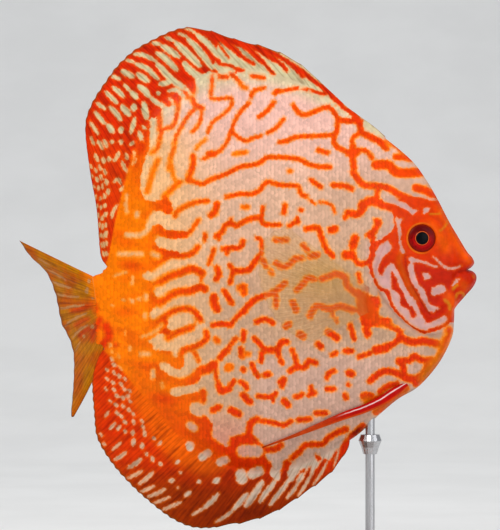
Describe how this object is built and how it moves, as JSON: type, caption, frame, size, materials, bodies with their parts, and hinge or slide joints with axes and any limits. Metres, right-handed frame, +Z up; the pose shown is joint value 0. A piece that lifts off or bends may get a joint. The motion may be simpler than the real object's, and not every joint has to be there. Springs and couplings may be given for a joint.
{
  "type": "discus fish",
  "caption": "Still, life-size model of a disc-shaped aquarium fish in side view, pale with a red-orange maze pattern, held by one rod on a flat stand.",
  "frame": {"origin": "centre of the underside of the stand's base", "axes": "+X towards the fish's head, +Z up, the fish's right side faces -Y"},
  "size_m": [0.1662, 0.084, 0.2064],
  "materials": {
    "scaled_skin": "semi-gloss scaled skin, pale with red-orange lines",
    "face_skin": "semi-gloss bare skin, red-orange with pale lines",
    "fin": "satin fin membrane over rays, red with pale spots",
    "tail_fin": "satin, half clear amber membrane with pale rays",
    "clear_fin": "clear, yellow membrane with fine rays",
    "eye": "polished, red iris and black pupil",
    "stand_wood": "oiled, fine straight grain",
    "stand_steel": "fine brushed"
  },
  "bodies": {
    "root": {"head": "face_skin", "upper_lip": "face_skin", "lower_lip": "face_skin", "gill_cover_right": "face_skin", "gill_cover_left": "face_skin", "trunk": "scaled_skin", "tail_stalk": "scaled_skin", "dorsal_fin_spiny": "fin", "dorsal_fin_soft": "fin", "anal_fin_spiny": "fin", "anal_fin_soft": "fin", "tail_fin": "tail_fin", "pectoral_fin_right": "clear_fin", "pectoral_fin_left": "clear_fin", "pelvic_fin_right": "fin", "pelvic_fin_left": "fin", "eye_right": "eye", "eye_left": "eye", "stand_base": "stand_wood", "stand_rod": "stand_steel", "stand_collar": "stand_steel"}
  },
  "joints": []
}
